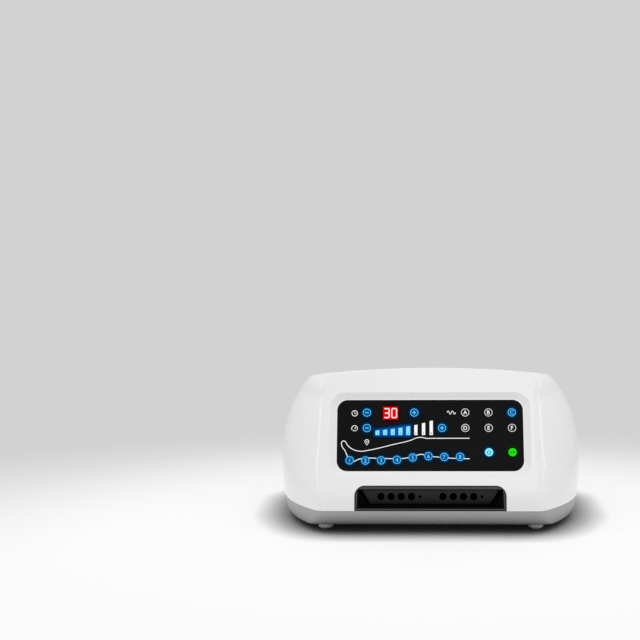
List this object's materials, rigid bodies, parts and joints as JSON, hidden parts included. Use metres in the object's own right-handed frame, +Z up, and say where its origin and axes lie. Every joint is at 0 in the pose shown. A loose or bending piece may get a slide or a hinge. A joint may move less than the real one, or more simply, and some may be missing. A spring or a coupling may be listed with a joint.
{
  "type": "compression therapy pump",
  "caption": "White table pump for pneumatic leg sleeves: sloped black control panel with lit keys over a recessed bay of air ports, on a grey tray with rubber feet.",
  "frame": {"origin": "on the table under the middle of the unit", "axes": "+X to the right of someone facing the panel, +Z up; the control panel faces -Y"},
  "size_m": [0.3056, 0.216, 0.1542],
  "materials": {
    "white_gloss": "high-gloss white moulded housing",
    "tray_grey": "satin light grey moulding",
    "bay_grey": "satin dark grey moulding",
    "port_black": "matte black moulding",
    "panel_black": "polished black panel",
    "key_black": "gloss key cap, lit from behind",
    "digit_red": "red display filter",
    "bar_blue": "translucent light window",
    "inner_white": "natural moulding",
    "board_green": "green circuit board lacquer",
    "component_black": "moulded electronic parts",
    "steel": "plain steel",
    "copper": "enamelled copper winding",
    "rubber_black": "soft black rubber",
    "rubber_pale": "soft pale rubber",
    "hose_clear": "milky soft hose",
    "brass_contact": "plated contact",
    "zinc": "zinc plated screw"
  },
  "bodies": {
    "housing": {"upper_shell": "white_gloss", "lower_shell": "tray_grey", "port_bay": "bay_grey", "air_ports": "port_black", "feet": "rubber_pale", "housing_screws": "zinc", "panel_lens": "panel_black", "digit_filter": "digit_red", "digit_module": "component_black", "level_bars": "bar_blue", "key_guide": "inner_white", "key_switches": "component_black", "panel_board": "board_green", "air_hoses": "hose_clear", "valve_manifold": "inner_white", "valve_coils": "component_black", "pump_frame": "steel", "pump_mounts": "rubber_black", "pump_core": "steel", "pump_coil": "copper", "pump_heads": "port_black", "main_board": "board_green", "board_components": "component_black", "mains_inlet": "port_black", "inlet_blades": "brass_contact", "pump_bell_left": "rubber_black", "pump_bell_right": "rubber_black"},
    "time_minus_key": {"time_minus_key": "key_black"},
    "time_plus_key": {"time_plus_key": "key_black"},
    "pressure_minus_key": {"pressure_minus_key": "key_black"},
    "pressure_plus_key": {"pressure_plus_key": "key_black"},
    "power_key": {"power_key": "key_black"},
    "start_key": {"start_key": "key_black"},
    "mode_a_key": {"mode_a_key": "key_black"},
    "mode_b_key": {"mode_b_key": "key_black"},
    "mode_c_key": {"mode_c_key": "key_black"},
    "mode_d_key": {"mode_d_key": "key_black"},
    "mode_e_key": {"mode_e_key": "key_black"},
    "mode_f_key": {"mode_f_key": "key_black"},
    "chamber_1_key": {"chamber_1_key": "key_black"},
    "chamber_2_key": {"chamber_2_key": "key_black"},
    "chamber_3_key": {"chamber_3_key": "key_black"},
    "chamber_4_key": {"chamber_4_key": "key_black"},
    "chamber_5_key": {"chamber_5_key": "key_black"},
    "chamber_6_key": {"chamber_6_key": "key_black"},
    "chamber_7_key": {"chamber_7_key": "key_black"},
    "chamber_8_key": {"chamber_8_key": "key_black"},
    "valve_plunger_1": {"valve_plunger_1": "steel"},
    "valve_plunger_2": {"valve_plunger_2": "steel"},
    "valve_plunger_3": {"valve_plunger_3": "steel"},
    "valve_plunger_4": {"valve_plunger_4": "steel"},
    "valve_plunger_5": {"valve_plunger_5": "steel"},
    "valve_plunger_6": {"valve_plunger_6": "steel"},
    "valve_plunger_7": {"valve_plunger_7": "steel"},
    "valve_plunger_8": {"valve_plunger_8": "steel"},
    "pump_arm_left": {"pump_arm_left": "steel"},
    "pump_arm_right": {"pump_arm_right": "steel"},
    "fuse_drawer": {"fuse_drawer": "port_black"},
    "power_rocker": {"power_rocker": "port_black"}
  },
  "joints": [
    {"name": "pump_arm_left_swing", "type": "hinge", "parent": "housing", "child": "pump_arm_left", "pos_m": [-0.087, 0.04, 0.025], "axis": [0, 1, 0], "range_deg": [-2, 2], "stiffness_Nm_per_rad": 3, "deforming": ["pump_bell_left"]},
    {"name": "pump_arm_right_swing", "type": "hinge", "parent": "housing", "child": "pump_arm_right", "pos_m": [-0.037, 0.04, 0.025], "axis": [0, 1, 0], "range_deg": [-2, 2], "stiffness_Nm_per_rad": 3, "deforming": ["pump_bell_right"]},
    {"name": "fuse_drawer_slide", "type": "slide", "parent": "housing", "child": "fuse_drawer", "axis": [0, 1, 0], "range_m": [0, 0.014]},
    {"name": "power_rocker_tilt", "type": "hinge", "parent": "housing", "child": "power_rocker", "pos_m": [0.084, 0.10236, 0.0765], "axis": [1, 0, 0], "range_deg": [-20, 0]},
    {"name": "time_minus_key_press", "type": "slide", "parent": "housing", "child": "time_minus_key", "axis": [0, 0.9397, -0.342], "range_m": [0, 0.0005], "stiffness_N_per_m": 400, "springref_m": -0.0005},
    {"name": "time_plus_key_press", "type": "slide", "parent": "housing", "child": "time_plus_key", "axis": [0, 0.9397, -0.342], "range_m": [0, 0.0005], "stiffness_N_per_m": 400, "springref_m": -0.0005},
    {"name": "pressure_minus_key_press", "type": "slide", "parent": "housing", "child": "pressure_minus_key", "axis": [0, 0.9397, -0.342], "range_m": [0, 0.0005], "stiffness_N_per_m": 400, "springref_m": -0.0005},
    {"name": "pressure_plus_key_press", "type": "slide", "parent": "housing", "child": "pressure_plus_key", "axis": [0, 0.9397, -0.342], "range_m": [0, 0.0005], "stiffness_N_per_m": 400, "springref_m": -0.0005},
    {"name": "power_key_press", "type": "slide", "parent": "housing", "child": "power_key", "axis": [0, 0.9397, -0.342], "range_m": [0, 0.0005], "stiffness_N_per_m": 400, "springref_m": -0.0005},
    {"name": "start_key_press", "type": "slide", "parent": "housing", "child": "start_key", "axis": [0, 0.9397, -0.342], "range_m": [0, 0.0005], "stiffness_N_per_m": 400, "springref_m": -0.0005},
    {"name": "mode_a_key_press", "type": "slide", "parent": "housing", "child": "mode_a_key", "axis": [0, 0.9397, -0.342], "range_m": [0, 0.0005], "stiffness_N_per_m": 400, "springref_m": -0.0005},
    {"name": "mode_b_key_press", "type": "slide", "parent": "housing", "child": "mode_b_key", "axis": [0, 0.9397, -0.342], "range_m": [0, 0.0005], "stiffness_N_per_m": 400, "springref_m": -0.0005},
    {"name": "mode_c_key_press", "type": "slide", "parent": "housing", "child": "mode_c_key", "axis": [0, 0.9397, -0.342], "range_m": [0, 0.0005], "stiffness_N_per_m": 400, "springref_m": -0.0005},
    {"name": "mode_d_key_press", "type": "slide", "parent": "housing", "child": "mode_d_key", "axis": [0, 0.9397, -0.342], "range_m": [0, 0.0005], "stiffness_N_per_m": 400, "springref_m": -0.0005},
    {"name": "mode_e_key_press", "type": "slide", "parent": "housing", "child": "mode_e_key", "axis": [0, 0.9397, -0.342], "range_m": [0, 0.0005], "stiffness_N_per_m": 400, "springref_m": -0.0005},
    {"name": "mode_f_key_press", "type": "slide", "parent": "housing", "child": "mode_f_key", "axis": [0, 0.9397, -0.342], "range_m": [0, 0.0005], "stiffness_N_per_m": 400, "springref_m": -0.0005},
    {"name": "chamber_1_key_press", "type": "slide", "parent": "housing", "child": "chamber_1_key", "axis": [0, 0.9397, -0.342], "range_m": [0, 0.0005], "stiffness_N_per_m": 400, "springref_m": -0.0005},
    {"name": "chamber_2_key_press", "type": "slide", "parent": "housing", "child": "chamber_2_key", "axis": [0, 0.9397, -0.342], "range_m": [0, 0.0005], "stiffness_N_per_m": 400, "springref_m": -0.0005},
    {"name": "chamber_3_key_press", "type": "slide", "parent": "housing", "child": "chamber_3_key", "axis": [0, 0.9397, -0.342], "range_m": [0, 0.0005], "stiffness_N_per_m": 400, "springref_m": -0.0005},
    {"name": "chamber_4_key_press", "type": "slide", "parent": "housing", "child": "chamber_4_key", "axis": [0, 0.9397, -0.342], "range_m": [0, 0.0005], "stiffness_N_per_m": 400, "springref_m": -0.0005},
    {"name": "chamber_5_key_press", "type": "slide", "parent": "housing", "child": "chamber_5_key", "axis": [0, 0.9397, -0.342], "range_m": [0, 0.0005], "stiffness_N_per_m": 400, "springref_m": -0.0005},
    {"name": "chamber_6_key_press", "type": "slide", "parent": "housing", "child": "chamber_6_key", "axis": [0, 0.9397, -0.342], "range_m": [0, 0.0005], "stiffness_N_per_m": 400, "springref_m": -0.0005},
    {"name": "chamber_7_key_press", "type": "slide", "parent": "housing", "child": "chamber_7_key", "axis": [0, 0.9397, -0.342], "range_m": [0, 0.0005], "stiffness_N_per_m": 400, "springref_m": -0.0005},
    {"name": "chamber_8_key_press", "type": "slide", "parent": "housing", "child": "chamber_8_key", "axis": [0, 0.9397, -0.342], "range_m": [0, 0.0005], "stiffness_N_per_m": 400, "springref_m": -0.0005},
    {"name": "valve_1_lift", "type": "slide", "parent": "housing", "child": "valve_plunger_1", "axis": [0, 0, 1], "range_m": [0, 0.0012], "stiffness_N_per_m": 400, "springref_m": -0.0005},
    {"name": "valve_2_lift", "type": "slide", "parent": "housing", "child": "valve_plunger_2", "axis": [0, 0, 1], "range_m": [0, 0.0012], "stiffness_N_per_m": 400, "springref_m": -0.0005},
    {"name": "valve_3_lift", "type": "slide", "parent": "housing", "child": "valve_plunger_3", "axis": [0, 0, 1], "range_m": [0, 0.0012], "stiffness_N_per_m": 400, "springref_m": -0.0005},
    {"name": "valve_4_lift", "type": "slide", "parent": "housing", "child": "valve_plunger_4", "axis": [0, 0, 1], "range_m": [0, 0.0012], "stiffness_N_per_m": 400, "springref_m": -0.0005},
    {"name": "valve_5_lift", "type": "slide", "parent": "housing", "child": "valve_plunger_5", "axis": [0, 0, 1], "range_m": [0, 0.0012], "stiffness_N_per_m": 400, "springref_m": -0.0005},
    {"name": "valve_6_lift", "type": "slide", "parent": "housing", "child": "valve_plunger_6", "axis": [0, 0, 1], "range_m": [0, 0.0012], "stiffness_N_per_m": 400, "springref_m": -0.0005},
    {"name": "valve_7_lift", "type": "slide", "parent": "housing", "child": "valve_plunger_7", "axis": [0, 0, 1], "range_m": [0, 0.0012], "stiffness_N_per_m": 400, "springref_m": -0.0005},
    {"name": "valve_8_lift", "type": "slide", "parent": "housing", "child": "valve_plunger_8", "axis": [0, 0, 1], "range_m": [0, 0.0012], "stiffness_N_per_m": 400, "springref_m": -0.0005}
  ],
  "couplings": [
    {"joint": "pump_arm_right_swing", "follows": "pump_arm_left_swing", "ratio": -1}
  ]
}
